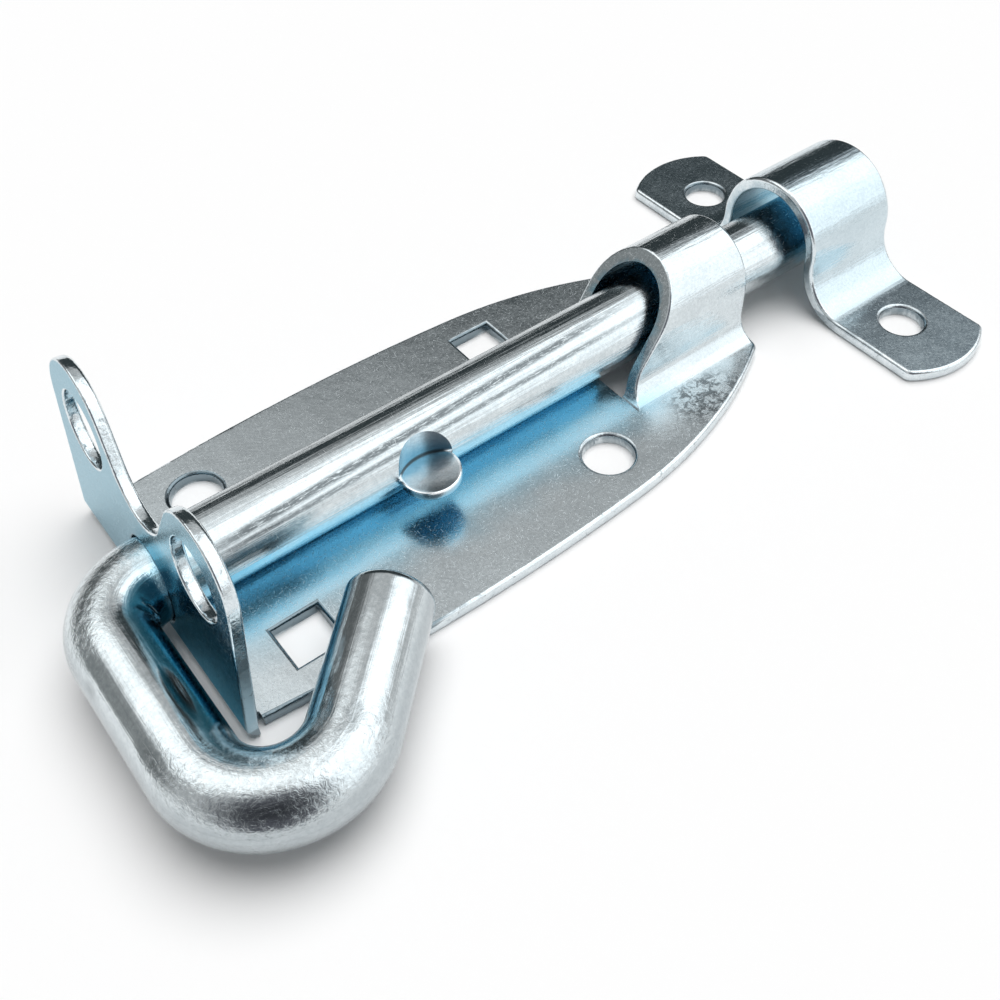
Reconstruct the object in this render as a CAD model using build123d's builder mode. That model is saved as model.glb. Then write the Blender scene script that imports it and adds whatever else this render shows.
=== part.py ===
from build123d import *

import os
from math import cos, radians, sin, tan

# Sliding bolt latch of zinc plated steel: one bent plate, one bent round bolt and one keeper strap.
# Millimetres. +X runs along the bolt towards the keeper, +Y to the left and +Z up, away from the
# gate. The origin is on the plate's underside, at the centre of its four-hole pattern.

os.makedirs("parts", exist_ok=True)

# Sheet and bar stock
plate_thickness = 2.5
keeper_thickness = 2.5
bar_diameter = 16.0
plate_gap = 0.5           # the bolt runs this far above the plate
hole_play = 0.35          # radial play of the bolt in the flange's hole
rim_radius = 0.8          # rounding of the sheared edges on the side they were struck from
back_rim_radius = 0.4     # and on the other side

# Plate outline
flange_x = -54.0          # outer face of the flange, at the plate's underside
nose_x = 82.0             # front end of the plate and of its loop
rear_width = 62.8         # beside the flange
middle_width = 68.0       # widest place
shoulder_width = 65.4     # where the sides turn into the pointed front
nose_width = 33.6
nose_corner_radius = 2.5
middle_x = -6.0
shoulder_x = 34.0

# Fixing holes of the plate: two round and two square, on opposite diagonals
hole_pitch_x = 70.4
hole_pitch_y = 42.8
round_hole_diameter = 10.6
square_hole_side = 9.6

# Flange with two padlock ears
flange_lean = 6.3         # degrees past upright, over the plate
bend_radius = 1.0         # inside the bend
ear_y = 21.8              # centre of the ear's round top
ear_z = 32.7              # measured up the flange, as the other heights on it are
ear_radius = 10.9
padlock_hole_diameter = 14.8
padlock_hole_y = 20.8
padlock_hole_z = 30.6
notch_floor_z = 25.8
notch_slope = 28.5        # degrees of the notch's sides from upright
relief_size = 1.6         # bend relief at the plate's rear corners

# Loop pressed up out of the plate's front
window_x = 47.8
loop_crown_x = 64.2       # rear edge at the crown, further forward than at the foot
loop_play = 1.0           # beside the bolt
loop_rise = 3.1           # centre of the crown above the bolt's axis
loop_flare = 5.0
loop_foot_radius = 2.5
loop_rim_radius = 0.6     # rounding of the loop's rear edge

# Bolt
tip_x = 124.0
tip_chamfer = 1.5
handle_x = -64.2          # first leg of the handle, behind the flange
first_bend_radius = 11.0
second_bend_radius = 13.7
handle_reach = 51.5       # axis of the bolt to the outermost point of the handle's centreline
hook_angle = 43.4         # degrees between the second leg and the bolt
hook_end_x = -21.3
hook_end_chamfer = 0.8
lug_x = 0.6
lug_offset_y = 9.3
lug_diameter = 12.2
lug_thickness = 2.6
lug_edge_radius = 1.2
scoop_radius = 8.0        # rounded blade that pressed the lug out of the bar's side
scoop_depth = 2.9         # how far it went into the bar

# Keeper
keeper_x = 112.5
keeper_width = 24.7
keeper_length = 96.0
keeper_hole_pitch = 62.4
keeper_hole_diameter = 9.6
keeper_play = 3.2
keeper_rise = 1.8
keeper_side = 0.5         # straight part between the foot's curve and the crown
keeper_end_radius = 19.0
keeper_corner_radius = 2.0

# Values that follow from those above
bar_radius = bar_diameter / 2
bolt_z = plate_thickness + plate_gap + bar_radius
loop_radius = bar_radius + loop_play
loop_z = bolt_z + loop_rise
loop_top_z = loop_z + loop_radius + plate_thickness
loop_reach = loop_radius + plate_thickness + loop_flare
flange_width = 2 * (ear_y + ear_radius)
slope = radians(notch_slope)
ear_side_y = ear_y * cos(slope) - ear_radius
notch_radius = (ear_side_y - (ear_z - notch_floor_z) * sin(slope)) / (1 - sin(slope))
keeper_radius = bar_radius + keeper_play
keeper_z = bolt_z + keeper_rise
keeper_flare = keeper_z - keeper_side - keeper_thickness
hook = radians(hook_angle)
hook_corner_y = handle_reach + second_bend_radius * (1 / tan((radians(90) - hook) / 2) - 1)
hook_end_y = hook_corner_y - (hook_end_x - handle_x) * tan(hook)


def strap_section(inner_radius, crown_z, flare, reach, thickness):
    """Section of a sheet strap: an arch between two feet, drawn in the open sketch."""
    outer_radius = inner_radius + thickness
    flare_top_z = thickness + flare
    with BuildLine() as outline:
        right_foot = Line((reach, thickness), (outer_radius + flare, thickness))
        right_flare = JernArc(right_foot @ 1, (-1, 0), flare, -90)
        right_side = Line(right_flare @ 1, (outer_radius, crown_z))
        crown = JernArc(right_side @ 1, (0, 1), outer_radius, 180)
        left_side = Line(crown @ 1, (-outer_radius, flare_top_z))
        left_flare = JernArc(left_side @ 1, (0, -1), flare, -90)
        left_foot = Line(left_flare @ 1, (-reach, thickness))
        left_end = Line(left_foot @ 1, (-reach, 0))
        left_sole = Line(left_end @ 1, (-outer_radius - flare, 0))
        left_curve = JernArc(left_sole @ 1, (1, 0), flare + thickness, 90)
        left_wall = Line(left_curve @ 1, (-inner_radius, crown_z))
        arch = JernArc(left_wall @ 1, (0, 1), inner_radius, -180)
        right_wall = Line(arch @ 1, (inner_radius, flare_top_z))
        right_curve = JernArc(right_wall @ 1, (0, -1), flare + thickness, 90)
        right_sole = Line(right_curve @ 1, (reach, 0))
        Line(right_sole @ 1, (reach, thickness))
    make_face(outline.edges())


def from_loop_axis(point):
    """Distance of a point from the loop's axis, or from the loop's middle plane below it."""
    return Vector(0, point.Y, max(0, point.Z - loop_z)).length


# Base plate: flat sheet with a loop pressed up at the front and a flange bent up at the rear
lean = radians(flange_lean)
flange_plane = Plane(origin=(flange_x, 0, 0), x_dir=(0, -1, 0), z_dir=(-cos(lean), 0, sin(lean)))
flange_axis = Axis(flange_plane.origin, flange_plane.z_dir)
tall_z = ear_z + ear_radius + plate_thickness
tall_x = flange_x + tall_z * tan(lean)
flange_inner_x = flange_x + plate_thickness
relief_x = flange_inner_x + relief_size
hole_x = hole_pitch_x / 2
hole_y = hole_pitch_y / 2

with BuildPart() as base_plate:
    with BuildSketch(Plane.XY) as sheet:
        with Locations((relief_x, 0)):
            Rectangle(nose_x - relief_x, middle_width, align=(Align.MIN, Align.CENTER))
        with Locations((window_x, 0)):
            Rectangle(nose_x, 2 * loop_reach, align=(Align.MIN, Align.CENTER), mode=Mode.SUBTRACT)
    extrude(amount=plate_thickness)
    with BuildSketch(Plane.YZ.offset(window_x)) as loop_section:
        strap_section(loop_radius, loop_z, loop_flare, middle_width / 2, plate_thickness)
    extrude(amount=nose_x - window_x)

    # The loop's rear edge rises from the window and rakes forward to the crown
    with BuildSketch(Plane.XZ) as rake:
        with BuildLine() as rake_line:
            FilletPolyline(
                (window_x - loop_foot_radius, plate_thickness),
                (window_x + loop_foot_radius / 2, plate_thickness),
                (loop_crown_x, loop_top_z),
                (loop_crown_x, tall_z),
                radius=(loop_foot_radius, loop_foot_radius),
            )
            Polyline(
                (loop_crown_x, tall_z),
                (window_x - loop_foot_radius, tall_z),
                (window_x - loop_foot_radius, plate_thickness),
            )
        make_face()
    extrude(amount=loop_reach, both=True, mode=Mode.SUBTRACT)
    raked_face = base_plate.faces().filter_by(GeomType.PLANE).sort_by(
        lambda face: face.normal_at().X * face.normal_at().Z
    )[0]
    raked_rim = raked_face.edges().filter_by(Axis.Y, reverse=True).filter_by(
        lambda edge: from_loop_axis(edge @ 0.5) > loop_radius + plate_thickness / 2
    )
    fillet(raked_rim, radius=loop_rim_radius)

    # Plan outline of the sheet: slightly bowed sides and a pointed front, cut off square
    with BuildSketch(Plane.XY) as plan_outline:
        with BuildLine() as half_outline:
            bowed_side = ThreePointArc(
                (relief_x, rear_width / 2),
                (middle_x, middle_width / 2),
                (shoulder_x, shoulder_width / 2),
            )
            pointed_side = TangentArc(bowed_side @ 1, (nose_x, nose_width / 2), tangent=bowed_side % 1)
            Polyline(pointed_side @ 1, (nose_x, 0), (relief_x, 0), bowed_side @ 0)
        make_face()
        mirror(about=Plane.XZ)
        fillet(plan_outline.vertices().group_by(Axis.X)[-1], radius=nose_corner_radius)
    extrude(amount=loop_top_z, mode=Mode.INTERSECT)
    top_and_sole = base_plate.faces().filter_by(Axis.Z).sort_by(SortBy.AREA)[-2:]
    fillet(top_and_sole.sort_by(Axis.Z)[-1].edges().filter_by(GeomType.CIRCLE), radius=rim_radius)
    sole = base_plate.faces().filter_by(Axis.Z).sort_by(Axis.Z)[0]
    fillet(sole.edges().filter_by(GeomType.CIRCLE), radius=back_rim_radius)

    # Flange bent up at the rear
    with BuildSketch(Plane.XZ) as bent_section:
        with BuildLine() as outer_line:
            FilletPolyline(
                (relief_x, 0), (flange_x, 0), (tall_x, tall_z), radius=bend_radius + plate_thickness
            )
            offset(amount=plate_thickness, side=Side.RIGHT)
        make_face()
    extrude(amount=flange_width / 2, both=True)

    # Ears with round tops, and between them a notch that lets the handle's hook through
    with BuildSketch(flange_plane) as outside_the_ears:
        Rectangle(2 * middle_width, 4 * tall_z)
        with BuildSketch(flange_plane, mode=Mode.SUBTRACT) as ears:
            Rectangle(flange_width, 2 * ear_z)
            Rectangle(2 * ear_y, 2 * (ear_z + ear_radius))
            with Locations((-ear_y, ear_z), (ear_y, ear_z)):
                Circle(ear_radius)
            with BuildLine() as notch:
                floor = CenterArc((0, notch_floor_z + notch_radius), notch_radius, -90, 90 - notch_slope)
                ear_top = CenterArc((ear_y, ear_z), ear_radius, 90, 90 - notch_slope)
                Line(floor @ 1, ear_top @ 1)
                Line(ear_top @ 0, (0, ear_z + ear_radius))
                mirror(about=Plane.YZ)
            make_face(mode=Mode.SUBTRACT)
    extrude(amount=2 * plate_thickness, both=True, mode=Mode.SUBTRACT)
    with BuildSketch(flange_plane) as padlock_holes:
        with Locations((-padlock_hole_y, padlock_hole_z), (padlock_hole_y, padlock_hole_z)):
            Circle(padlock_hole_diameter / 2)
    extrude(amount=2 * plate_thickness, both=True, mode=Mode.SUBTRACT)
    with BuildSketch(Plane.YZ.offset(flange_x - plate_thickness)) as bolt_hole:
        with Locations((0, bolt_z)):
            Circle(bar_radius + hole_play)
    extrude(amount=5 * plate_thickness, mode=Mode.SUBTRACT)
    inner_face = base_plate.faces().filter_by(flange_axis).sort_by(flange_axis)[0]
    fillet(inner_face.edges().filter_by(Axis.Y, reverse=True), radius=rim_radius)
    outer_face = base_plate.faces().filter_by(flange_axis).sort_by(flange_axis)[-1]
    fillet(outer_face.edges().filter_by(Axis.Y, reverse=True), radius=back_rim_radius)

    # Bend reliefs, and the fixing holes
    with BuildSketch(Plane.XY) as reliefs:
        relief_depth = middle_width - rear_width + 2 * relief_size
        with Locations((relief_x, -middle_width / 2), (relief_x, middle_width / 2)):
            Rectangle(relief_size, relief_depth, align=(Align.MAX, Align.CENTER))
    extrude(amount=plate_thickness + bend_radius, mode=Mode.SUBTRACT)
    with BuildSketch(Plane.XY) as fixing_holes:
        with Locations((-hole_x, hole_y), (hole_x, -hole_y)):
            Circle(round_hole_diameter / 2)
        with Locations((-hole_x, -hole_y), (hole_x, hole_y)):
            Rectangle(square_hole_side, square_hole_side)
    extrude(amount=plate_thickness, mode=Mode.SUBTRACT)
    top_and_sole = base_plate.faces().filter_by(Axis.Z).sort_by(SortBy.AREA)[-2:]
    hole_rims = top_and_sole.sort_by(Axis.Z)[-1].inner_wires()
    fillet(hole_rims.edges(), radius=rim_radius)

base_plate.part.label = "base_plate"
export_step(base_plate.part, "parts/base_plate.step")

# Bolt: one round bar, bent twice into the handle, with a stop lug swaged out of its side
with BuildPart() as bolt:
    with BuildLine(Plane.XY.offset(bolt_z)) as bolt_axis:
        FilletPolyline(
            (tip_x, 0),
            (handle_x, 0),
            (handle_x, -hook_corner_y),
            (hook_end_x, -hook_end_y),
            radius=(first_bend_radius, second_bend_radius),
        )
    with BuildSketch(Plane.YZ.offset(tip_x)) as bar_section:
        with Locations((0, bolt_z)):
            Circle(bar_radius)
    sweep()
    bar_ends = bolt.faces().filter_by(GeomType.PLANE).sort_by(Axis.X)
    chamfer(bar_ends[-1].edges(), tip_chamfer)
    bar_ends = bolt.faces().filter_by(GeomType.PLANE).sort_by(Axis.X)
    chamfer(bar_ends[0].edges(), hook_end_chamfer)
    with Locations((lug_x, scoop_depth - bar_radius - scoop_radius, bolt_z)):
        Cylinder(
            scoop_radius,
            bar_radius,
            align=(Align.CENTER, Align.CENTER, Align.MIN),
            mode=Mode.SUBTRACT,
        )
    with Locations((lug_x, -lug_offset_y, bolt_z)):
        Cylinder(lug_diameter / 2, lug_thickness, align=(Align.CENTER, Align.CENTER, Align.MAX))
    lug_sole = bolt.faces().filter_by(Axis.Z).sort_by(Axis.Z)[0]
    fillet(lug_sole.edges().filter_by(GeomType.CIRCLE), radius=lug_edge_radius)

bolt.part.label = "bolt"
export_step(bolt.part, "parts/bolt.step")

# Keeper: a strap with an arch over the bolt's end and a foot on each side
with BuildPart() as keeper:
    with BuildSketch(Plane.YZ.offset(keeper_x - keeper_width / 2)) as keeper_section:
        strap_section(keeper_radius, keeper_z, keeper_flare, keeper_length / 2, keeper_thickness)
    extrude(amount=keeper_width)
    with BuildSketch(Plane.XY) as keeper_plan:
        end_y = keeper_length / 2 - keeper_end_radius
        with Locations((keeper_x, -end_y), (keeper_x, end_y)):
            Circle(keeper_end_radius)
        with Locations((keeper_x, 0)):
            Rectangle(keeper_width, 2 * end_y)
            Rectangle(keeper_width, keeper_length, mode=Mode.INTERSECT)
        fillet(keeper_plan.vertices(), radius=keeper_corner_radius)
    extrude(amount=keeper_z + keeper_radius + keeper_thickness, mode=Mode.INTERSECT)
    with BuildSketch(Plane.XY) as keeper_holes:
        with Locations((keeper_x, -keeper_hole_pitch / 2), (keeper_x, keeper_hole_pitch / 2)):
            Circle(keeper_hole_diameter / 2)
    extrude(amount=keeper_thickness, mode=Mode.SUBTRACT)
    foot_tops = keeper.faces().filter_by(Axis.Z).group_by(Axis.Z)[-1]
    fillet(foot_tops.edges().filter_by(Axis.X, reverse=True), radius=rim_radius)
    foot_soles = keeper.faces().filter_by(Axis.Z).group_by(Axis.Z)[0]
    sole_rims = ShapeList(foot.outer_wire() for foot in foot_soles).edges()
    fillet(sole_rims.filter_by(Axis.X, reverse=True), radius=back_rim_radius)

keeper.part.label = "keeper"
export_step(keeper.part, "parts/keeper.step")
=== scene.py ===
from math import ceil, cos, pi, radians, sin, sqrt, tan

import bmesh
import bpy
from mathutils import Matrix, Vector
from mathutils.bvhtree import BVHTree


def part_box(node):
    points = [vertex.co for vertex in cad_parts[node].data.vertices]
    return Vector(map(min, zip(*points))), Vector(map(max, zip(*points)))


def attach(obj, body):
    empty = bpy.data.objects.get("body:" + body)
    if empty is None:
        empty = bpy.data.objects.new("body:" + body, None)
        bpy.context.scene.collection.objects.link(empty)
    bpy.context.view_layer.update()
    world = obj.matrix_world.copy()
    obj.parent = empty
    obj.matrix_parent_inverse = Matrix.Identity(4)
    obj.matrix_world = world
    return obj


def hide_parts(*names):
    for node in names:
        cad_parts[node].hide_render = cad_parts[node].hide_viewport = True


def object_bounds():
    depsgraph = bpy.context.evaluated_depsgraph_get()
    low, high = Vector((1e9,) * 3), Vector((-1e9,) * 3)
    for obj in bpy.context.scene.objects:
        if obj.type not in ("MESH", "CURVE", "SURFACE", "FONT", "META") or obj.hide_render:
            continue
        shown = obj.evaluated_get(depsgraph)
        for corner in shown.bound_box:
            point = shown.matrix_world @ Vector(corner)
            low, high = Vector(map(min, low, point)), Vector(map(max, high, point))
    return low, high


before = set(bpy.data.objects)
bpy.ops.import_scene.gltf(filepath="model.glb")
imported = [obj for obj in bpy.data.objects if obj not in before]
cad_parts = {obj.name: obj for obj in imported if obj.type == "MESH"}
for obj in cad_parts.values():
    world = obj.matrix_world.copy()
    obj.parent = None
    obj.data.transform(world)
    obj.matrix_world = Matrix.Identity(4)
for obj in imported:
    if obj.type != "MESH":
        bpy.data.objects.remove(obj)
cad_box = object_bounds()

# Sliding bolt latch of blue-white zinc plated steel. Metres, in the frame of the CAD part.

# Bolt, from the frame's box and the bends of its handle
bolt_low, bolt_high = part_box("bolt")
bar_radius = (bolt_high.z - bolt_low.z) / 2
bar_height = (bolt_high.z + bolt_low.z) / 2
handle_x = bolt_low.x + bar_radius
handle_reach = -bolt_low.y - bar_radius
first_bend = 0.0110
second_bend = 0.0137
hook_angle = radians(43.4)
hook_end_x = -0.0213
tip_rounding = 0.0015
hook_end_rounding = 0.0016
bar_sides = 96
bar_step = 0.0010
ring_gap = 2e-6           # between the rings of a flat end face, which the sweep keeps apart
handle_start = 0.160      # distance from the tip where the handle's hammered finish starts
handle_fade = 0.015

# Dents of the handle: distance along the bar, angle round it (0 is the inside), their reach, and depth
dents = (
    (0.2120, 60, 0.0078, 12, 0.00055),
    (0.1862, 24, 0.0013, 26, 0.00040),
    (0.1896, 36, 0.0012, 20, 0.00045),
    (0.2365, 132, 0.0095, 24, 0.00035),
    (0.2200, 128, 0.0060, 12, 0.00018),
    (0.2010, 150, 0.0030, 14, 0.00012),
    (0.2520, 100, 0.0040, 16, 0.00012),
)
dark_dent = 0.00035       # depth from which a dent's painted shade is full

# Stop lug swaged out of the bar by a rounded blade
lug_place = Vector((0.0006, -0.0093, bar_height))
lug_radius = 0.0061
lug_thickness = 0.0026
lug_rim = 0.0012
lug_dish = 0.00025
scoop_radius = 0.0080
scoop_depth = 0.0029      # how far the blade went into the bar's side
blade_place = Vector((lug_place.x, scoop_depth - bar_radius - scoop_radius, bar_height))

# Sheet metal
plate_thickness = 0.0025
flange_x = -0.054         # outer face of the flange at the plate's underside
flange_lean = radians(6.3)
rim_curve = 0.0012        # surfaces curved tighter than this are the rounded sheared edges
rim_turn = radians(4)     # and between flatter faces there is no rounded edge
broad_area = 0.001        # square metres; smaller faces of the sheet are its sheared walls
crisp_edge = radians(35)  # faces that meet at more than this are shaded apart
weld_reach = 2e-6         # doubled corners of a CAD node lie closer than this
grid_step = 0.004         # the sheet is cut into cells this wide, which carry its shelter

# Shelter: how much of what a place faces is the latch itself
shelter_count = 28        # rays from each vertex
shelter_reach = 0.045
shelter_lift = 0.00004


# Node helpers, for the bar's shape and for every material

class Graph:
    """Adds nodes to one tree and joins them in short calls."""

    def __init__(self, tree):
        self.tree = tree

    def add(self, kind, **settings):
        made = self.tree.nodes.new(kind)
        for name, value in settings.items():
            setattr(made, name, value)
        return made

    def feed(self, socket, value):
        if isinstance(value, bpy.types.NodeSocket):
            self.tree.links.new(value, socket)
        else:
            socket.default_value = value

    def math(self, operation, first, second=0.0, third=0.0):
        made = self.add("ShaderNodeMath", operation=operation)
        for socket, value in zip(made.inputs, (first, second, third)):
            self.feed(socket, value)
        return made.outputs[0]

    def vector(self, operation, first, second=(0, 0, 0)):
        made = self.add("ShaderNodeVectorMath", operation=operation)
        self.feed(made.inputs[0], first)
        self.feed(made.inputs[1], second)
        return made.outputs["Value" if operation in ("DOT_PRODUCT", "LENGTH") else "Vector"]

    def product(self, *values):
        result = values[0]
        for value in values[1:]:
            result = self.math("MULTIPLY", result, value)
        return result

    def highest(self, *values):
        result = values[0]
        for value in values[1:]:
            result = self.math("MAXIMUM", result, value)
        return result

    def split(self, vector):
        made = self.add("ShaderNodeSeparateXYZ")
        self.feed(made.inputs[0], vector)
        return made.outputs

    def fade(self, value, start, end, low=0.0, high=1.0):
        """A smooth step from low to high as a value goes from start to end."""
        made = self.add("ShaderNodeMapRange", interpolation_type="SMOOTHSTEP")
        for socket, given in zip(made.inputs, (value, start, end, low, high)):
            self.feed(socket, given)
        return made.outputs[0]

    def noise(self, place, scale, detail=3.0, roughness=0.55, distortion=0.0):
        made = self.add("ShaderNodeTexNoise")
        self.feed(made.inputs["Vector"], place)
        names = ("Scale", "Detail", "Roughness", "Distortion")
        for name, given in zip(names, (scale, detail, roughness, distortion)):
            self.feed(made.inputs[name], given)
        return made.outputs[0]

    def stretched(self, place, sizes):
        """Coordinates in which one unit is as long as each size."""
        made = self.add("ShaderNodeMapping", vector_type="TEXTURE")
        self.feed(made.inputs["Vector"], place)
        made.inputs["Scale"].default_value = sizes
        return made.outputs[0]

    def colours(self, factor, first, second):
        made = self.add("ShaderNodeMix", data_type="RGBA")
        for index, given in ((0, factor), (6, first), (7, second)):
            self.feed(made.inputs[index], given)
        return made.outputs[2]

    def bump(self, height, distance, strength=1.0, normal=None):
        made = self.add("ShaderNodeBump")
        made.inputs["Strength"].default_value = strength
        made.inputs["Distance"].default_value = distance
        self.feed(made.inputs["Height"], height)
        if normal is not None:
            self.feed(made.inputs["Normal"], normal)
        return made.outputs[0]

    def use(self, group, **values):
        made = self.add("ShaderNodeGroup", node_tree=group)
        for name, given in values.items():
            self.feed(made.inputs[name.replace("_", " ")], given)
        return made


def new_group(name, inputs, outputs, kind="ShaderNodeTree"):
    """An empty node group with named sockets, its graph and its two end nodes."""
    tree = bpy.data.node_groups.new(name, kind)
    for label, socket_type, value in inputs:
        socket = tree.interface.new_socket(label, in_out="INPUT", socket_type=f"NodeSocket{socket_type}")
        if value is not None:
            socket.default_value = value
    for label, socket_type in outputs:
        tree.interface.new_socket(label, in_out="OUTPUT", socket_type=f"NodeSocket{socket_type}")
    graph = Graph(tree)
    return tree, graph, graph.add("NodeGroupInput"), graph.add("NodeGroupOutput")


# Mesh helpers

def new_object(name, mesh):
    """A new object at the origin, in the scene."""
    piece = bpy.data.objects.new(name, mesh)
    bpy.context.scene.collection.objects.link(piece)
    return piece


def with_modifiers_applied(piece):
    """Replaces a piece's mesh by what its modifiers make of it."""
    evaluated = piece.evaluated_get(bpy.context.evaluated_depsgraph_get())
    finished = bpy.data.meshes.new_from_object(evaluated)
    piece.modifiers.clear()
    piece.data = finished
    return piece


def soften(mesh):
    """Smooth shading, with crisp edges where the faces meet at more than a slight angle."""
    bm = bmesh.new()
    bm.from_mesh(mesh)
    for face in bm.faces:
        face.smooth = True
    for edge in bm.edges:
        edge.smooth = len(edge.link_faces) == 2 and edge.calc_face_angle(pi) < crisp_edge
    bm.to_mesh(mesh)
    bm.free()


def weigh_normals(piece):
    """Keeps flat faces flat in shading beside the rounded rims."""
    modifier = piece.modifiers.new("weighted", "WEIGHTED_NORMAL")
    modifier.keep_sharp = True
    return with_modifiers_applied(piece)


# Sheet pieces: merged copies of the CAD nodes, with their sheared edges told apart

def is_rim(face):
    """Whether a face belongs to a rounded edge: it turns sharply towards a neighbour over a short way."""
    for edge in face.edges:
        if len(edge.link_faces) < 2:
            continue
        other = edge.link_faces[0] if edge.link_faces[1] == face else edge.link_faces[1]
        turn = face.normal.angle(other.normal, 0)
        start, end = (vertex.co for vertex in edge.verts)
        along = (end - start).normalized()
        offset = other.calc_center_median() - face.calc_center_median()
        across = (offset - along * offset.dot(along)).length
        if turn > rim_turn and across < turn * rim_curve:
            return True
    return False


def broad_faces(bm, rims):
    """Faces of the sheet's two broad sides: large areas not cut by rims or sharp edges."""
    broad, seen = set(), set(rims)
    for seed in bm.faces:
        if seed in seen:
            continue
        seen.add(seed)
        patch, queue = [seed], [seed]
        while queue:
            face = queue.pop()
            for edge in face.edges:
                for other in edge.link_faces:
                    if other not in seen and face.normal.angle(other.normal, 0) < crisp_edge:
                        seen.add(other)
                        patch.append(other)
                        queue.append(other)
        if sum(face.calc_area() for face in patch) > broad_area:
            broad.update(patch)
    return broad


def flat_projection(bm, layer_name):
    """A UV map in metres, seen along the axis that each face looks along most."""
    layer = bm.loops.layers.uv.new(layer_name)
    for face in bm.faces:
        sizes = [abs(value) for value in face.normal]
        main = sizes.index(max(sizes))
        across, along = [(1, 2), (0, 2), (0, 1)][main]
        for loop in face.loops:
            loop[layer].uv = (loop.vert.co[across], loop.vert.co[along])


def cut_into_cells(bm):
    """Cuts along evenly spaced planes, so that the flat parts carry a mask too."""
    for axis in range(3):
        places = [vertex.co[axis] for vertex in bm.verts]
        normal = Vector([float(axis == other) for other in range(3)])
        for index in range(ceil(min(places) / grid_step), ceil(max(places) / grid_step)):
            bmesh.ops.bisect_plane(
                bm, geom=[*bm.verts, *bm.edges, *bm.faces], dist=1e-6,
                plane_co=normal * index * grid_step, plane_no=normal,
            )


def dressed_sheet(node, name, sheet_material, edge_material):
    """A smooth copy of a sheet metal node that stands for it, with its own finish on the edges."""
    bm = bmesh.new()
    bm.from_mesh(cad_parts[node].data)
    bmesh.ops.remove_doubles(bm, verts=bm.verts, dist=weld_reach)
    bm.normal_update()
    rims = {face for face in bm.faces if is_rim(face)}
    broad = broad_faces(bm, rims)
    for face in bm.faces:
        face.material_index = 0 if face in broad else 1
    cut_into_cells(bm)
    flat_projection(bm, "surface")
    mesh = bpy.data.meshes.new(name)
    bm.to_mesh(mesh)
    bm.free()
    soften(mesh)
    mesh.materials.append(sheet_material)
    mesh.materials.append(edge_material)
    piece = weigh_normals(new_object(name, mesh))
    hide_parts(node)
    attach(piece, "base")
    return piece


# Bolt: a round bar swept along its bent centreline

def bar_centreline():
    """Stations from the tip to the hook's end: place, heading and distance from the tip."""
    stations = []

    def straight(start, heading, length):
        count = max(2, ceil(length / bar_step))
        for index in range(count):
            stations.append((start + heading * length * index / count, heading))

    def arc(centre, radius, start, sweep):
        count = ceil(radius * sweep / bar_step * 1.6)
        for index in range(count):
            angle = start + sweep * index / count
            out = Vector((cos(angle), sin(angle), 0))
            stations.append((centre + out * radius, Vector((-out.y, out.x, 0))))

    rear = Vector((-1, 0, 0))
    down = Vector((0, -1, 0))
    hook = Vector((cos(hook_angle), sin(hook_angle), 0))
    level = Vector((0, 0, bar_height))
    straight(level + Vector((bolt_high.x, 0, 0)), rear, bolt_high.x - handle_x - first_bend)
    arc(level + Vector((handle_x + first_bend, -first_bend, 0)), first_bend, pi / 2, pi / 2)
    leg = handle_reach - second_bend - first_bend
    straight(level + Vector((handle_x, -first_bend, 0)), down, leg)
    centre = level + Vector((handle_x + second_bend, second_bend - handle_reach, 0))
    sweep = pi / 2 + hook_angle
    arc(centre, second_bend, pi, sweep)
    hook_start = centre + Vector((cos(pi + sweep), sin(pi + sweep), 0)) * second_bend
    hook_length = (hook_end_x - hook_start.x) / cos(hook_angle)
    straight(hook_start, hook, hook_length)
    stations.append((hook_start + hook * hook_length, hook))
    distances = [0.0]
    for before, after in zip(stations, stations[1:]):
        distances.append(distances[-1] + (after[0] - before[0]).length)
    return [(*station, distance) for station, distance in zip(stations, distances)]


bar_length = bar_centreline()[-1][2]


def end_rings(rounding, count=7):
    """Pairs of distance from the end and radius, for a flat end face with a rounded rim."""
    flat_shares = (0.02, 0.35, 0.7)
    rings = [(index * ring_gap, bar_radius * share) for index, share in enumerate(flat_shares)]
    for index in range(count):
        turn = pi / 2 * index / (count - 1)
        shift = max(rounding * (1 - cos(turn)), len(flat_shares) * ring_gap)
        rings.append((shift, bar_radius - rounding * (1 - sin(turn))))
    return rings


def bar_line(name):
    """The bar's centreline as a mesh of points and edges, with the bar's radius at each point."""
    stations = bar_centreline()
    tip, hook_end = stations[0], stations[-1]
    points = [(tip[0] + tip[1] * shift, radius) for shift, radius in end_rings(tip_rounding)]
    for place, _, distance in stations:
        if tip_rounding < distance < bar_length - hook_end_rounding:
            points.append((place, bar_radius))
    for shift, radius in reversed(end_rings(hook_end_rounding)):
        points.append((hook_end[0] - hook_end[1] * shift, radius))
    mesh = bpy.data.meshes.new(name)
    edges = [(index, index + 1) for index in range(len(points) - 1)]
    mesh.from_pydata([place for place, _ in points], edges, [])
    thickness = mesh.attributes.new("thickness", "FLOAT", "POINT")
    for value, (_, radius) in zip(thickness.data, points):
        value.value = radius
    return mesh


def dent_depth(graph, distance, angle):
    """How far the bar's surface is pressed in, from the distance along it and the angle round it."""
    depth = 0.0
    for along, degrees, length, spread, deepest in dents:
        run = graph.math("DIVIDE", graph.math("SUBTRACT", distance, along), length)
        off = graph.math("WRAP", graph.math("SUBTRACT", angle, radians(degrees)), pi, -pi)
        turn = graph.math("DIVIDE", off, radians(spread))
        reach = graph.math("ADD", graph.product(run, run), graph.product(turn, turn))
        share = graph.highest(graph.math("SUBTRACT", 1.0, reach), 0.0)
        depth = graph.math("ADD", depth, graph.product(share, share, deepest))
    return depth


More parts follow.
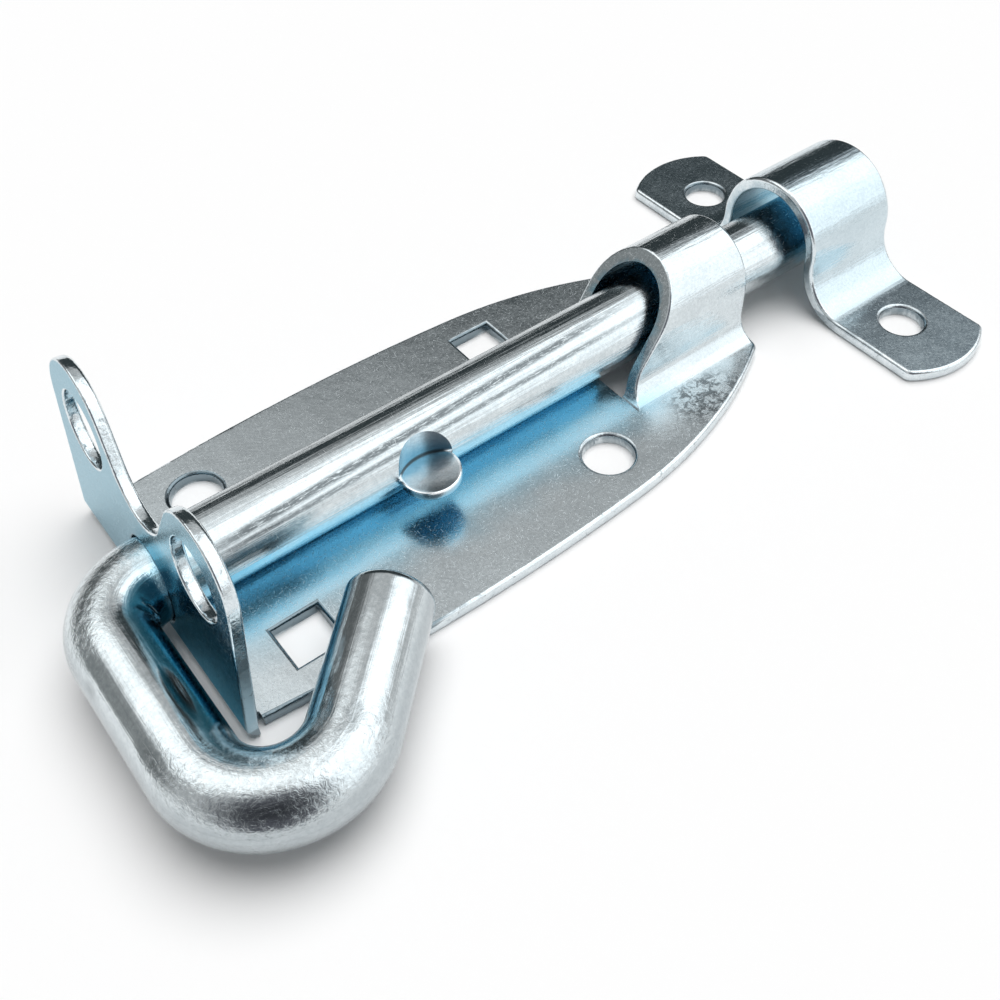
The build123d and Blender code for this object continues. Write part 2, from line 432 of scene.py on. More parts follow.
def bent_bar_tree():
    """Geometry nodes that sweep the bar's section along its line, press in its dents and mark its finish."""
    tree, graph, given, out = new_group(
        "bent_bar",
        (("Line", "Geometry", None), ("Bar Radius", "Float", 0.008), ("Sides", "Int", 96),
         ("Handle Start", "Float", 0.16), ("Handle Fade", "Float", 0.015), ("Dark Dent", "Float", 0.00035),
         ("Finish", "Material", None)),
        (("Bar", "Geometry"),),
        "GeometryNodeTree",
    )

    def step(kind, geometry, **values):
        """The next node on the way of the geometry, with its other inputs fed."""
        made = graph.add(kind)
        graph.feed(made.inputs[0], geometry)
        for name, value in values.items():
            graph.feed(made.inputs[name.replace("_", " ")], value)
        return made.outputs[0]

    def attribute(name, kind):
        made = graph.add("GeometryNodeInputNamedAttribute", data_type=kind)
        made.inputs["Name"].default_value = name
        return made.outputs["Attribute"]

    def stored(geometry, name, kind, domain, value):
        made = graph.add("GeometryNodeStoreNamedAttribute", data_type=kind, domain=domain)
        graph.feed(made.inputs["Geometry"], geometry)
        made.inputs["Name"].default_value = name
        graph.feed(made.inputs["Value"], value)
        return made.outputs["Geometry"]

    def captured(geometry, **fields):
        made = graph.add("GeometryNodeCaptureAttribute", domain="POINT")
        graph.feed(made.inputs["Geometry"], geometry)
        for name, (kind, value) in fields.items():
            made.capture_items.new(kind, name)
            graph.feed(made.inputs[name], value)
        return made.outputs

    run = graph.add("GeometryNodeSplineParameter")
    place = graph.add("GeometryNodeInputPosition").outputs[0]
    level = graph.add("GeometryNodeSetCurveNormal", mode="Z_UP")
    graph.feed(level.inputs["Curve"], step("GeometryNodeMeshToCurve", given.outputs["Line"]))
    line = captured(level.outputs[0], Centre=("VECTOR", place), Distance=("FLOAT", run.outputs["Length"]))
    circle = graph.add("GeometryNodeCurvePrimitiveCircle")
    graph.feed(circle.inputs["Resolution"], given.outputs["Sides"])
    circle.inputs["Radius"].default_value = 1.0
    from_below = step("GeometryNodeTransform", circle.outputs[0], Rotation=(0, 0, pi / 2))
    section = captured(from_below, Turn=("FLOAT", run.outputs["Factor"]))
    swept = step(
        "GeometryNodeCurveToMesh", line["Geometry"], Profile_Curve=section["Geometry"],
        Scale=attribute("thickness", "FLOAT"), Fill_Caps=True,
    )

    turn = section["Turn"]              # share of the way round, from the underside
    angle = graph.math("MULTIPLY_ADD", turn, 2 * pi, -pi / 2)
    depth = dent_depth(graph, line["Distance"], angle)
    kept = graph.math("SUBTRACT", 1.0, graph.math("DIVIDE", depth, given.outputs["Bar Radius"]))
    out_of_centre = graph.vector("SUBTRACT", place, line["Centre"])
    shrunk = graph.add("ShaderNodeVectorMath", operation="SCALE")
    graph.feed(shrunk.inputs[0], out_of_centre)
    graph.feed(shrunk.inputs["Scale"], kept)
    pressed_in = step(
        "GeometryNodeSetPosition", swept, Position=graph.vector("ADD", line["Centre"], shrunk.outputs[0]),
    )

    past_start = graph.math("SUBTRACT", line["Distance"], given.outputs["Handle Start"])
    on_handle = graph.math("DIVIDE", past_start, given.outputs["Handle Fade"])
    clamped = graph.highest(graph.math("MINIMUM", on_handle, 1.0), 0.0)
    # Painted shade in the dents, fuller as they go deeper, stored as the 'pressed' mark
    dent_shade = graph.math("MINIMUM", graph.math("DIVIDE", depth, given.outputs["Dark Dent"]), 1.0)
    marked = stored(pressed_in, "handle", "FLOAT", "POINT", clamped)
    marked = stored(marked, "pressed", "FLOAT", "POINT", dent_shade)

    of_face = graph.add("GeometryNodeFieldOnDomain", data_type="FLOAT", domain="FACE")
    graph.feed(of_face.inputs["Value"], turn)
    past_seam = graph.math("GREATER_THAN", graph.math("SUBTRACT", of_face.outputs[0], turn), 0.25)
    around = graph.product(graph.math("ADD", turn, past_seam), 2 * pi, given.outputs["Bar Radius"])
    unrolled = graph.add("ShaderNodeCombineXYZ")
    graph.feed(unrolled.inputs["X"], line["Distance"])
    graph.feed(unrolled.inputs["Y"], around)
    mapped = stored(marked, "surface", "FLOAT2", "CORNER", unrolled.outputs[0])
    cleared = step("GeometryNodeRemoveAttribute", mapped, Name="thickness")
    real = step("GeometryNodeRealizeInstances", cleared)
    graph.feed(out.inputs["Bar"], step("GeometryNodeSetMaterial", real, Material=given.outputs["Finish"]))
    return tree


def swept_bar(name, material):
    """The bent bar, with UVs in metres along and around it and marks on its handle and dents."""
    piece = new_object(name, bar_line(name))
    modifier = piece.modifiers.new("bent_bar", "NODES")
    modifier.node_group = bent_bar_tree()
    values = {
        "Bar Radius": bar_radius, "Sides": bar_sides, "Handle Start": handle_start,
        "Handle Fade": handle_fade, "Dark Dent": dark_dent, "Finish": material,
    }
    for socket in modifier.node_group.interface.items_tree:
        if socket.in_out == "INPUT" and socket.name in values:
            modifier[socket.identifier] = values[socket.name]
    return with_modifiers_applied(piece)


def lathe(name, profile, centre, sides=72):
    """A closed solid turned about the vertical through a point, from pairs of radius and height."""
    bm = bmesh.new()
    rings = []
    for radius, height in profile:
        ring = []
        for index in range(sides):
            angle = 2 * pi * index / sides
            ring.append(bm.verts.new(centre + Vector((radius * cos(angle), radius * sin(angle), height))))
        rings.append(ring)
    for ring, following in zip(rings, rings[1:]):
        for index in range(sides):
            after = (index + 1) % sides
            bm.faces.new((ring[index], ring[after], following[after], following[index]))
    bm.faces.new(list(reversed(rings[0])))
    bm.faces.new(rings[-1])
    bmesh.ops.recalc_face_normals(bm, faces=bm.faces)
    mesh = bpy.data.meshes.new(name)
    bm.to_mesh(mesh)
    bm.free()
    return new_object(name, mesh)


def lug_profile():
    """Half section of the lug's disc: a rounded lower rim and a slightly dished top."""
    profile = [(0.0002, -lug_thickness), (lug_radius - lug_rim, -lug_thickness)]
    for index in range(1, 7):
        turn = pi / 2 * index / 6
        profile.append((lug_radius - lug_rim * (1 - sin(turn)), -lug_thickness + lug_rim * (1 - cos(turn))))
    profile.append((lug_radius, -0.0003))
    profile.append((lug_radius - 0.0001, -0.0001))
    profile.append((lug_radius - 0.0003, 0.0))
    profile.append((lug_radius - 0.0010, -lug_dish / 2))
    profile.append((lug_radius * 0.5, -lug_dish))
    profile.append((0.0002, -lug_dish))
    return profile


def combine(piece, tool, operation):
    """Cuts a tool from a piece or joins it on, and deletes the tool."""
    modifier = piece.modifiers.new(operation.lower(), "BOOLEAN")
    modifier.operation = operation
    modifier.solver = "EXACT"
    modifier.object = tool
    with_modifiers_applied(piece)
    bpy.data.objects.remove(tool)


def build_bolt(bar_material, lug_material):
    """The bolt with its handle and stop lug, one forged piece."""
    piece = swept_bar("bolt_bar", bar_material)
    piece.data.materials.append(lug_material)
    scoop = lathe("scoop", [(scoop_radius, -lug_dish), (scoop_radius, bar_radius * 1.2)], blade_place, 120)
    disc = lathe("disc", lug_profile(), lug_place)
    for tool in (scoop, disc):
        for material in (bar_material, lug_material):
            tool.data.materials.append(material)
        for face in tool.data.polygons:
            face.material_index = 1
    combine(piece, scoop, "DIFFERENCE")
    combine(piece, disc, "UNION")
    soften(piece.data)
    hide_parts("bolt")
    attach(piece, "sliding_bolt")
    return piece


# Shelter, marked on every vertex for the materials, which paint shade by it

def half_sphere_rays():
    """Fixed directions over the half sphere about +Z, denser towards its top."""
    rays = []
    for index in range(shelter_count):
        rise = sqrt(1 - (index + 0.5) / shelter_count)
        out = sqrt(1 - rise * rise)
        turn = index * pi * (3 - sqrt(5))
        rays.append(Vector((out * cos(turn), out * sin(turn), rise)))
    return rays


def mark_shelter(pieces):
    """Writes on each vertex the share of its rays that meet the latch within reach."""
    corners, faces = [], []
    for piece in pieces:
        first = len(corners)
        corners += [vertex.co.copy() for vertex in piece.data.vertices]
        faces += [[first + corner for corner in polygon.vertices] for polygon in piece.data.polygons]
    latch = BVHTree.FromPolygons(corners, faces)
    rays = half_sphere_rays()
    for piece in pieces:
        mask = piece.data.attributes.new("shelter", "FLOAT", "POINT")
        for vertex, value in zip(piece.data.vertices, mask.data):
            turn = Vector((0, 0, 1)).rotation_difference(vertex.normal).to_matrix()
            start = vertex.co + vertex.normal * shelter_lift
            met = [ray for ray in rays if latch.ray_cast(start, turn @ ray, shelter_reach)[0] is not None]
            value.value = len(met) / shelter_count


# Plating: its tones, the places of its marks, and its materials

sheet_dark = (0.59, 0.65, 0.675, 1)
sheet_light = (0.73, 0.795, 0.82, 1)
bar_dark = (0.60, 0.66, 0.685, 1)
bar_light = (0.76, 0.82, 0.84, 1)
# White of the scratches, and of the painted highlight on the lug's rim
scratch_and_highlight_white = (0.94, 0.98, 1.0, 1)
# Painted shade on the handle's lower side
low_shade_grey = (0.22, 0.25, 0.27, 1)
# Dark grey of torn patches, drawn streaks and the crushed corner, and of painted shade in dents and at the
# lug's seam and painted dark reflections on the bar
stain_and_shade_grey = (0.15, 0.17, 0.18, 1)
# Blue of the painted shade and reflection on the sheet, and of the keeper's faint tint
blue_tint_and_shade = (0.34, 0.60, 0.73, 1)
# Teal of the painted shade on the bar and of the flange's painted reflection tint
painted_shade_teal = (0.42, 0.68, 0.79, 1)
# Painted deep shade on the flange's outer face
painted_shade_deep = (0.07, 0.30, 0.41, 1)
# Tones of the rounded edges, lighter than the sheet's as a painted highlight
edge_highlight_dark = (0.66, 0.73, 0.76, 1)
edge_highlight_light = (0.90, 0.95, 0.97, 1)
# Painted shade in shelter: blue on the edges, near black on the walls inside the plate's holes
edge_shade_blue = (0.20, 0.34, 0.41, 1)
hole_shade_dark = (0.11, 0.16, 0.19, 1)
lug_dark = (0.56, 0.62, 0.65, 1)
lug_light = (0.74, 0.80, 0.83, 1)
# Painted blue shade in the lug's shelter
lug_shade_blue = (0.22, 0.45, 0.57, 1)

# Places of the finish
keeper_border = (0.088, 0.092)      # between the plate's finish and the keeper's, along X
crushed_place = (0.0620, -0.0215, plate_thickness)
bend_spans = (                      # along the bar: start of the crinkles, full, still full, and end
    (0.168, 0.180, 0.192, 0.202),
    (0.212, 0.226, 0.248, 0.262),
)

# Painted dark reflections along the bar, as thin slanted lines: distance from the tip, way round it, slant,
# half width and strength
dark_reflection_lines = (
    (0.0770, 0.0222, -0.0380, 0.0013, 1.0),
    (0.1150, 0.0182, -0.0200, 0.0008, 0.85),
    (0.0770, 0.0298, -0.0120, 0.0012, 0.40),
)


def short_scratches_group():
    """Short straight scratches that lie every way, one in each cell of a flat pattern."""
    tree, graph, given, out = new_group(
        "short_scratches",
        (("Place", "Vector", None), ("Scale", "Float", 900.0),
         ("Length", "Float", 0.42), ("Width", "Float", 0.035)),
        (("Mask", "Float"),),
    )
    place = graph.vector("SCALE", given.outputs["Place"])
    graph.feed(place.node.inputs["Scale"], given.outputs["Scale"])
    cells = graph.add("ShaderNodeTexVoronoi", voronoi_dimensions="2D")
    graph.feed(cells.inputs["Vector"], place)
    cells.inputs["Scale"].default_value = 1.0
    offset = graph.vector("SUBTRACT", place, cells.outputs["Position"])
    x, y, _ = graph.split(offset)
    picks = graph.add("ShaderNodeSeparateColor")
    graph.feed(picks.inputs[0], cells.outputs["Color"])
    turn = graph.product(picks.outputs[0], 2 * pi)
    cosine, sine = graph.math("COSINE", turn), graph.math("SINE", turn)
    along = graph.math("ADD", graph.product(x, cosine), graph.product(y, sine))
    across = graph.math("SUBTRACT", graph.product(y, cosine), graph.product(x, sine))
    length = graph.product(given.outputs["Length"], picks.outputs[1])
    near_line = graph.fade(graph.math("ABSOLUTE", across), given.outputs["Width"], 0.0)
    within = graph.math("LESS_THAN", graph.math("ABSOLUTE", along), length)
    graph.feed(out.inputs["Mask"], graph.product(near_line, within, picks.outputs[2]))
    return tree


def cloudy_zinc_group():
    """Colour of the plating: a mottled grey between two tones, under a blue tint that the materials use
    mostly for painted shade and reflection.
    """
    tree, graph, given, out = new_group(
        "cloudy_zinc",
        (("Place", "Vector", None), ("Scale", "Float", 60.0),
         ("Dark", "Color", (0.5, 0.5, 0.5, 1)), ("Light", "Color", (0.7, 0.7, 0.7, 1)),
         ("Blue", "Float", 0.0), ("Blue Tone", "Color", (0.05, 0.25, 0.40, 1))),
        (("Color", "Color"), ("Cloud", "Float")),
    )
    broad = graph.noise(given.outputs["Place"], given.outputs["Scale"], 4.0, 0.6, 0.4)
    fine = graph.noise(given.outputs["Place"], graph.product(given.outputs["Scale"], 14.0), 3.0, 0.7)
    cloud = graph.math("ADD", graph.product(broad, 0.35), graph.product(fine, 0.65))
    spread = graph.fade(cloud, 0.34, 0.66)
    tone = graph.colours(spread, given.outputs["Dark"], given.outputs["Light"])
    tinted = graph.colours(given.outputs["Blue"], tone, given.outputs["Blue Tone"])
    graph.feed(out.inputs["Color"], tinted)
    graph.feed(out.inputs["Cloud"], spread)
    return tree


def painted_shelter_shade_group():
    """Painted blue shade in sheltered places, with an uneven border."""
    tree, graph, given, out = new_group(
        "painted_shelter_shade",
        (("Place", "Vector", None), ("Shelter", "Float", 0.0),
         ("Start", "Float", 0.3), ("Full", "Float", 0.8)),
        (("Mask", "Float"),),
    )
    uneven = graph.noise(given.outputs["Place"], 180.0, 3.0, 0.6)
    shifted = graph.math("ADD", given.outputs["Shelter"], graph.math("MULTIPLY_ADD", uneven, 0.3, -0.15))
    graph.feed(out.inputs["Mask"], graph.fade(shifted, given.outputs["Start"], given.outputs["Full"]))
    return tree


short_scratches = short_scratches_group()
cloudy_zinc = cloudy_zinc_group()
painted_shelter_shade = painted_shelter_shade_group()


def metal(name):
    """A new metallic material: its graph and its shader."""
    material = bpy.data.materials.new(name)
    material.use_nodes = True
    shader = material.node_tree.nodes["Principled BSDF"]
    shader.inputs["Metallic"].default_value = 1.0
    return material, Graph(material.node_tree), shader


def surface_map(graph):
    """The piece's own UV map, in metres."""
    return graph.add("ShaderNodeUVMap", uv_map="surface").outputs[0]


def object_place(graph):
    """The place on the piece, in metres from the part's origin."""
    return graph.add("ShaderNodeTexCoord").outputs["Object"]


def mark(graph, name):
    """A mask kept on the vertices."""
    return graph.add("ShaderNodeAttribute", attribute_name=name).outputs["Fac"]


def shelter_mask(graph, place, start, full):
    """How much painted blue shade a place gets from its shelter."""
    kept = graph.use(painted_shelter_shade, Place=place, Shelter=mark(graph, "shelter"), Start=start, Full=full)
    return kept.outputs["Mask"]


def satin_sheet_material():
    """Broad faces of the sheet: satin grey zinc, scratched, with painted blue shade beside the bolt and in
    shelter, and a painted deep shade on the flange's outer face.
    """
    material, graph, shader = metal("satin_sheet")
    place = object_place(graph)
    x, y, z = graph.split(place)

    # Painted blue shade and reflection right of the bolt on the plate and in shelter, and a faint blue tint
    # on the keeper
    uneven = graph.math("MULTIPLY_ADD", graph.noise(place, 90.0, 3.0), 0.012, -0.006)
    beside_bolt = graph.product(
        graph.fade(graph.math("ADD", y, uneven), -0.0255, -0.0105), graph.fade(y, 0.0130, 0.0090),
        graph.fade(x, flange_x, flange_x + 0.014), graph.fade(x, 0.066, 0.045),
        graph.fade(z, plate_thickness + 0.0015, plate_thickness + 0.0003), graph.fade(z, 0.0006, 0.0014),
    )
    raised = graph.fade(z, 0.0045, 0.0075)
    in_shelter = graph.product(shelter_mask(graph, place, 0.22, 0.62), raised)
    on_keeper = graph.fade(x, *keeper_border, 0.0, 0.20)
    zinc = graph.use(
        cloudy_zinc, Place=place, Scale=110.0, Dark=sheet_dark, Light=sheet_light,
        Blue=graph.product(graph.highest(beside_bolt, in_shelter, on_keeper), 0.92), Blue_Tone=blue_tint_and_shade,
    )

    # Painted deep blue shade and reflection tint on the flange's outer face, strongest low down on the right
    from_outer_face = graph.math("MULTIPLY_ADD", z, -tan(flange_lean), graph.math("SUBTRACT", x, flange_x))
    low_right = graph.product(graph.fade(z, 0.034, 0.020), graph.fade(y, 0.010, -0.010, 0.35, 1.0))
    deep = graph.product(graph.fade(from_outer_face, 0.0012, 0.0006), graph.highest(low_right, 0.48))

    # Crushed dark corner beside the loop, and scratches
    from_corner = graph.vector("SUBTRACT", place, crushed_place)
    near_corner = graph.vector("LENGTH", graph.vector("MULTIPLY", from_corner, (1.0, 1.0, 3.0)))
    corner = graph.fade(near_corner, 0.0115, 0.0040)
    wrinkles = graph.noise(place, 620.0, 4.0, 0.7, 0.8)
    dark_wrinkles = graph.fade(wrinkles, 0.42, 0.56, 0.0, 0.92)
    crushed = graph.product(corner, dark_wrinkles, graph.fade(y, -0.015, -0.018))
    marks = graph.use(short_scratches, Place=surface_map(graph), Scale=1200.0, Length=0.7, Width=0.11)
    shown = graph.product(marks.outputs["Mask"], graph.fade(x, *keeper_border, 0.6, 0.25))

    stained = graph.colours(crushed, zinc.outputs["Color"], stain_and_shade_grey)
    deepened = graph.colours(deep, stained, painted_shade_deep)
    graph.feed(shader.inputs["Base Color"], graph.colours(shown, deepened, scratch_and_highlight_white))
    graph.feed(shader.inputs["Specular Tint"], graph.colours(deep, (1, 1, 1, 1), painted_shade_teal))

    # Smoother and drawn along on the loop and the keeper, where the sheet was pressed
    pressed_part = graph.product(graph.fade(x, 0.046, 0.052), raised)
    satin = graph.fade(zinc.outputs["Cloud"], 0.0, 1.0, 0.18, 0.26)
    smooth = graph.product(satin, graph.fade(pressed_part, 0.0, 1.0, 1.0, 0.62))
    graph.feed(shader.inputs["Roughness"], graph.math("MULTIPLY_ADD", shown, 0.6, smooth))
    lines = graph.noise(graph.stretched(place, (0.0120, 0.0012, 0.0012)), 1.0, 4.0, 0.65)
    rolled = graph.bump(graph.noise(place, 120.0, 2.0), 0.0003, 0.3)
    pulled = graph.bump(graph.product(lines, pressed_part), 0.00025, 0.5, rolled)
    wrinkled = graph.bump(graph.product(wrinkles, corner), 0.00018, 0.5, pulled)
    grain = graph.noise(place, 1500.0, 3.0, 0.6)
    graph.feed(shader.inputs["Normal"], graph.bump(grain, 0.00003, 0.5, wrinkled))
    return material


def sheared_edge_material():
    """Rounded sheared edges and hole walls: lighter than the broad faces as a painted highlight, torn in dark
    patches, with painted shade in shelter.
    """
    material, graph, shader = metal("sheared_edge")
    place = object_place(graph)
    # Painted shade: blue on sheltered edges, darker and reaching further on the walls inside the plate
    in_plate = graph.fade(graph.split(place)["Z"], plate_thickness + 0.0005, plate_thickness)
    start = graph.fade(in_plate, 0.0, 1.0, 0.12, 0.04)
    full = graph.fade(in_plate, 0.0, 1.0, 0.50, 0.26)
    kept = graph.highest(shelter_mask(graph, place, start, full), 0.10)
    zinc = graph.use(
        cloudy_zinc, Place=place, Scale=260.0, Dark=edge_highlight_dark, Light=edge_highlight_light,
        Blue=graph.product(kept, 0.85), Blue_Tone=graph.colours(in_plate, edge_shade_blue, hole_shade_dark),
    )
    torn = graph.fade(graph.noise(place, 700.0, 4.0, 0.7, 0.6), 0.58, 0.72, 0.0, 0.6)
    graph.feed(shader.inputs["Base Color"], graph.colours(torn, zinc.outputs["Color"], stain_and_shade_grey))
    graph.feed(shader.inputs["Roughness"], graph.fade(torn, 0.0, 0.6, 0.13, 0.3))
    rough_cut = graph.noise(place, 900.0, 3.0, 0.6, 0.5)
    graph.feed(shader.inputs["Normal"], graph.bump(rough_cut, 0.00012, 0.5))
    return material


def drawn_bar_material():
    """The bolt's bar: bright plating over drawn streaks, hammered where the bends stretched it, with painted
    shade and painted dark reflections.
    """
    material, graph, shader = metal("drawn_bar")
    own, place = surface_map(graph), object_place(graph)
    along, around, _ = graph.split(own)
    handle = mark(graph, "handle")

    def by_handle(on_bar, on_handle):
        """A value that goes over from the straight bar's to the handle's."""
        return graph.fade(handle, 0.0, 1.0, on_bar, on_handle)

    side_wall = graph.product(
        graph.fade(along, 0.0008, 0.0016), graph.fade(along, bar_length - 0.0008, bar_length - 0.0018),
    )
    near_bends = graph.highest(*(
        graph.product(graph.fade(along, start, full), graph.fade(along, end, last))
        for start, full, last, end in bend_spans
    ))

    # Dark marks: streaks of drawing, painted dark reflections along the bar, and painted shade in the dents
    streaks = graph.product(graph.noise(graph.stretched(own, (0.040, 0.0010, 1.0)), 1.0, 4.0, 0.6), side_wall)
    smeared = graph.noise(graph.stretched(own, (0.0024, 0.00032, 1.0)), 1.0, 6.0, 0.75)
    smeared = graph.fade(smeared, 0.32, 0.52)
    dark_reflections = 0.0
    for start, turn, slant, width, strength in dark_reflection_lines:
        line = graph.math("MULTIPLY_ADD", along, slant, turn - slant * start)
        off = graph.math("ABSOLUTE", graph.math("SUBTRACT", around, line))
        dark_reflections = graph.highest(dark_reflections, graph.fade(off, width, width * 0.25, 0.0, strength))
    towards_rear = graph.fade(along, 0.060, 0.090, 0.25, 1.0)
    stains = graph.highest(
        graph.product(graph.fade(streaks, 0.54, 0.70, 0.0, 0.28), by_handle(1.0, 0.5)),
        graph.product(dark_reflections, smeared, graph.math("SUBTRACT", 1.0, handle), towards_rear),
        graph.product(mark(graph, "pressed"), graph.fade(smeared, 0.0, 1.0, 0.45, 1.0)),
    )

    # Painted teal shade where the bar is sheltered
    kept = shelter_mask(graph, place, by_handle(0.42, 0.20), by_handle(0.78, 0.62))
    zinc = graph.use(
        cloudy_zinc, Place=place, Scale=90.0, Dark=bar_dark, Light=bar_light,
        Blue=graph.product(kept, 0.95), Blue_Tone=painted_shade_teal,
    )
    # Painted shade: the handle darker on its lower side
    under = graph.product(graph.fade(graph.split(place)["Z"], 0.0166, 0.0136, 0.0, 0.46), handle)
    shaded_low = graph.colours(under, zinc.outputs["Color"], low_shade_grey)
    streaked = graph.colours(stains, shaded_low, stain_and_shade_grey)
    marks = graph.use(short_scratches, Place=own, Scale=900.0, Length=0.6, Width=0.08)
    shown = graph.product(marks.outputs["Mask"], by_handle(0.45, 0.12), side_wall)
    graph.feed(shader.inputs["Base Color"], graph.colours(shown, streaked, scratch_and_highlight_white))
    patchy = graph.fade(graph.noise(place, 150.0, 4.0, 0.65), 0.35, 0.65, 0.12, 0.20)
    polished = graph.product(patchy, by_handle(1.0, 0.72))
    graph.feed(shader.inputs["Roughness"], graph.math("MULTIPLY_ADD", shown, 0.5, polished))

    # Relief: drawn lines, a hammered handle, and crinkles on the outer side of the bends
    drawn = graph.bump(graph.product(streaks, by_handle(1.0, 0.4)), 0.00030, 0.5)
    hammered = graph.bump(graph.product(graph.noise(place, 170.0, 2.0, 0.5), handle), 0.00025, 0.5, drawn)
    outer_bend = graph.product(near_bends, graph.fade(around, 0.022, 0.031, 0.25, 1.0))
    crinkles = graph.noise(place, 760.0, 4.0, 0.62, 1.4)
    peel = graph.product(crinkles, graph.fade(outer_bend, 0.0, 1.0, 0.10, 1.0))
    graph.feed(shader.inputs["Normal"], graph.bump(peel, 0.00030, 0.5, hammered))
    return material


def ring_mask(graph, place, centre, radius, width):
    """A thin ring about a point, level with the lug's top face."""
    offset = graph.vector("SUBTRACT", place, centre)
    level = graph.vector("MULTIPLY", offset, (1, 1, 0))
    away = graph.math("SUBTRACT", graph.vector("LENGTH", level), radius)
    near_line = graph.fade(graph.math("ABSOLUTE", away), width, width * 0.3)
    at_top = graph.fade(graph.math("ABSOLUTE", graph.split(offset)["Z"]), 0.0006, 0.0003)
    return graph.product(near_line, at_top)


def swaged_lug_material():
    """The lug's scoop and disc: smooth bright metal, pale blue from painted shade in shelter, with a painted
    shade line along the scoop's seam, a painted highlight round the disc's rim, and faint tool marks in its
    bump.
    """
    material, graph, shader = metal("swaged_lug")
    place = object_place(graph)
    zinc = graph.use(
        cloudy_zinc, Place=place, Scale=200.0, Dark=lug_dark, Light=lug_light,
        Blue=graph.product(shelter_mask(graph, place, 0.08, 0.50), 0.85), Blue_Tone=lug_shade_blue,
    )
    # Painted shade along the seam between scoop and disc
    seam = graph.product(ring_mask(graph, place, blade_place, scoop_radius, 0.0004), 0.8)
    seamed = graph.colours(seam, zinc.outputs["Color"], stain_and_shade_grey)
    # Painted highlight round the disc's top rim
    rim = ring_mask(graph, place, lug_place, lug_radius - 0.0002, 0.0005)
    graph.feed(shader.inputs["Base Color"], graph.colours(rim, seamed, scratch_and_highlight_white))
    shader.inputs["Roughness"].default_value = 0.22
    graph.feed(shader.inputs["Normal"], graph.bump(graph.noise(place, 500.0, 2.0), 0.0001, 0.4))
    return material


# Surroundings: what lights the latch and what its plating mirrors

sky_strength = 0.27                  # of the plain room that lights what isn't a mirror
wall_levels = (                      # height of the direction, and brightness
    (0.00, 0.62),
    (1.00, 0.92),
    (0.50, 0.51),
    (0.72, 0.50),
    (0.85, 0.56),
    (0.95, 0.66),
)
room_patches = (                     # azimuth, elevation, core and edge in degrees, and colour
    (-30, 62, 12, 30, (1.48, 1.50, 1.50)),
    (-48, 16, 10, 24, (0.26, 0.27, 0.27)),
    (-14, 16, 13, 28, (0.13, 0.135, 0.135)),
    (64, 26, 14, 24, (0.20, 0.22, 0.24)),
    (120, 52, 26, 40, (1.60, 1.64, 1.66)),
    (146, 26, 16, 30, (1.36, 1.40, 1.42)),
    (-145, 28, 22, 36, (0.15, 0.15, 0.17)),
    (36, 2, 38, 43, (0.040, 0.050, 0.053)),
)

floor_radius = 4.0
floor_drop = 0.00005                 # under the latch, so that the two don't share a plane
sun_strength = 2.46
sun_softness = radians(58)
sun_place = (70, 74)                 # azimuth and elevation in degrees


def heading(azimuth, elevation):
    """Unit vector at an azimuth from +Y towards +X and an elevation, in degrees."""
    turn, rise = radians(azimuth), radians(elevation)
    return Vector((sin(turn) * cos(rise), cos(turn) * cos(rise), sin(rise)))


def studio_world():
    """Pale room with soft boxes overhead and to the right, and unlit corners at the front and the back."""
    world = bpy.data.worlds.new("studio")
    bpy.context.scene.world = world
    world.use_nodes = True
    graph = Graph(world.node_tree)
    direction = graph.add("ShaderNodeTexCoord").outputs["Generated"]
    rise = graph.add("ShaderNodeValToRGB")
    graph.feed(rise.inputs[0], graph.split(direction)["Z"])
    stops = rise.color_ramp
    stops.interpolation = "EASE"
    for index, (place, level) in enumerate(wall_levels):
        stop = stops.elements[index] if index < 2 else stops.elements.new(place)
        stop.position = place
        stop.color = (level, level, level, 1)
    room = rise.outputs[0]
    for azimuth, elevation, core, edge, tone in room_patches:
        facing = graph.vector("DOT_PRODUCT", direction, heading(azimuth, elevation))
        inside = graph.fade(facing, cos(radians(edge)), cos(radians(core)))
        room = graph.colours(inside, room, (*tone, 1))
    mirrored = graph.add("ShaderNodeBackground")
    graph.feed(mirrored.inputs["Color"], room)
    plain = graph.add("ShaderNodeBackground")
    plain.inputs["Color"].default_value = (1, 1, 1, 1)
    seen = graph.add("ShaderNodeLightPath")
    strength = graph.fade(seen.outputs["Is Camera Ray"], 0.0, 1.0, sky_strength, 1.0)
    graph.feed(plain.inputs["Strength"], strength)
    mirrors = graph.math("MAXIMUM", seen.outputs["Is Glossy Ray"], seen.outputs["Is Transmission Ray"])
    choice = graph.add("ShaderNodeMixShader")
    graph.feed(choice.inputs[0], mirrors)
    graph.feed(choice.inputs[1], plain.outputs[0])
    graph.feed(choice.inputs[2], mirrored.outputs[0])
    graph.feed(world.node_tree.nodes["World Output"].inputs["Surface"], choice.outputs[0])
    world.node_tree.nodes.remove(world.node_tree.nodes["Background"])


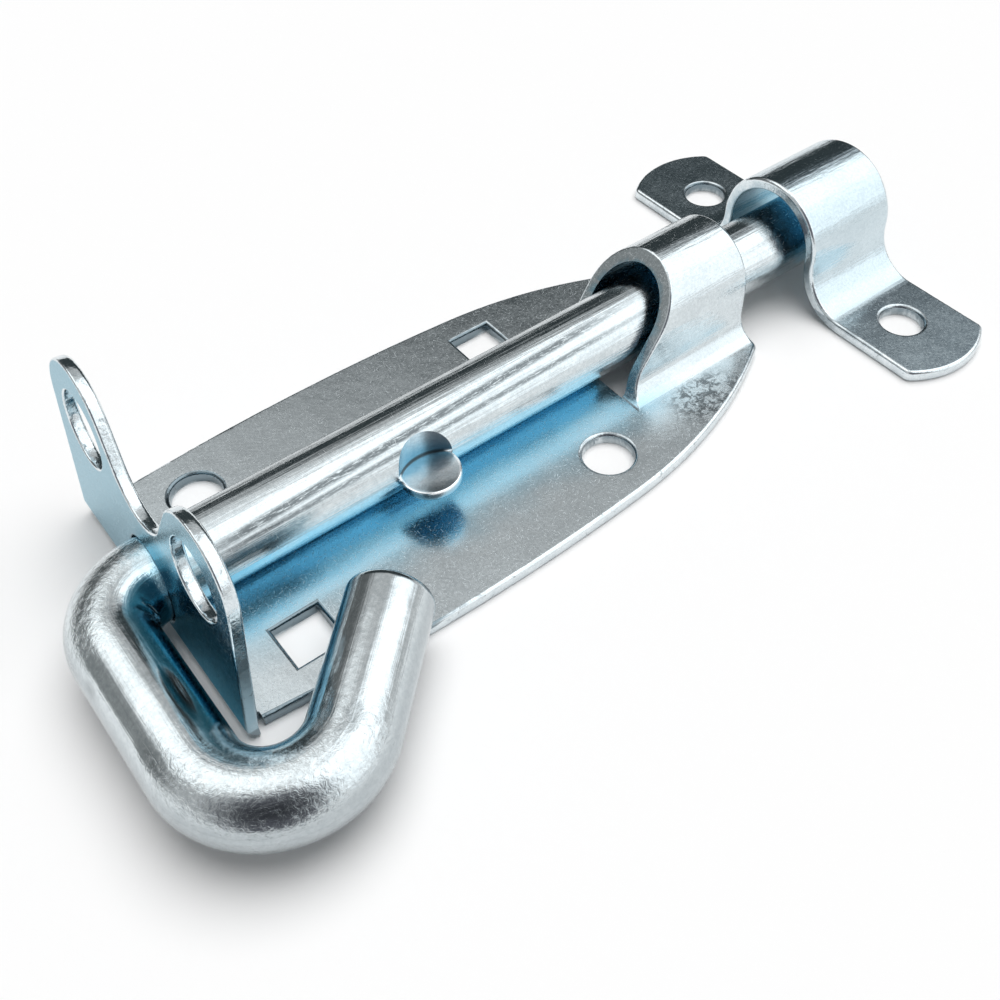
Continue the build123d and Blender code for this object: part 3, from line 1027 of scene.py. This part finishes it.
def floor_and_light():
    """Pale floor under the latch, and one broad soft light from the upper right that fades nowhere."""
    bm = bmesh.new()
    bmesh.ops.create_circle(bm, cap_ends=True, segments=64, radius=floor_radius)
    mesh = bpy.data.meshes.new("floor")
    bm.to_mesh(mesh)
    bm.free()
    floor = new_object("floor", mesh)
    floor.location.z = cad_box[0].z - floor_drop
    material = bpy.data.materials.new("pale_floor")
    material.use_nodes = True
    shader = material.node_tree.nodes["Principled BSDF"]
    shader.inputs["Base Color"].default_value = (0.97, 0.97, 0.97, 1)
    shader.inputs["Roughness"].default_value = 1.0
    shader.inputs["Specular IOR Level"].default_value = 0.0
    floor.data.materials.append(material)
    lamp = bpy.data.lights.new("overhead", "SUN")
    lamp.energy = sun_strength
    lamp.angle = sun_softness
    overhead = bpy.data.objects.new("overhead", lamp)
    overhead.rotation_euler = heading(*sun_place).to_track_quat("Z", "Y").to_euler()
    overhead.visible_glossy = False
    bpy.context.scene.collection.objects.link(overhead)


# Camera at the photograph's place
sensor_width = 36.0
camera_focal = 1153.67 / 1000       # in widths of the picture
camera_place = Vector((-0.07506, -0.13720, 0.17213))
camera_azimuth = radians(-35.62)
camera_elevation = radians(49.07)
camera_roll = radians(-2.235)


def photo_camera():
    """A camera that frames the latch as the photograph does."""
    ahead = Vector((
        -sin(camera_azimuth) * cos(camera_elevation),
        cos(camera_azimuth) * cos(camera_elevation),
        -sin(camera_elevation),
    ))
    level = Vector((cos(camera_azimuth), sin(camera_azimuth), 0))
    above = level.cross(ahead)
    right = level * cos(camera_roll) + above * sin(camera_roll)
    up = above * cos(camera_roll) - level * sin(camera_roll)
    data = bpy.data.cameras.new("photo_camera")
    data.sensor_width = sensor_width
    data.lens = sensor_width * camera_focal
    data.clip_start = 0.01
    camera = bpy.data.objects.new("photo_camera", data)
    turn = Matrix((right, up, -ahead)).transposed()
    camera.matrix_world = Matrix.Translation(camera_place) @ turn.to_4x4()
    bpy.context.scene.collection.objects.link(camera)
    bpy.context.scene.camera = camera


satin_sheet = satin_sheet_material()
sheared_edge = sheared_edge_material()
pieces = [
    dressed_sheet("base_plate", "plate_with_loop", satin_sheet, sheared_edge),
    dressed_sheet("keeper", "keeper_strap", satin_sheet, sheared_edge),
    build_bolt(drawn_bar_material(), swaged_lug_material()),
]
mark_shelter(pieces)
studio_world()
floor_and_light()
photo_camera()
bpy.context.scene.view_settings.view_transform = "Standard"
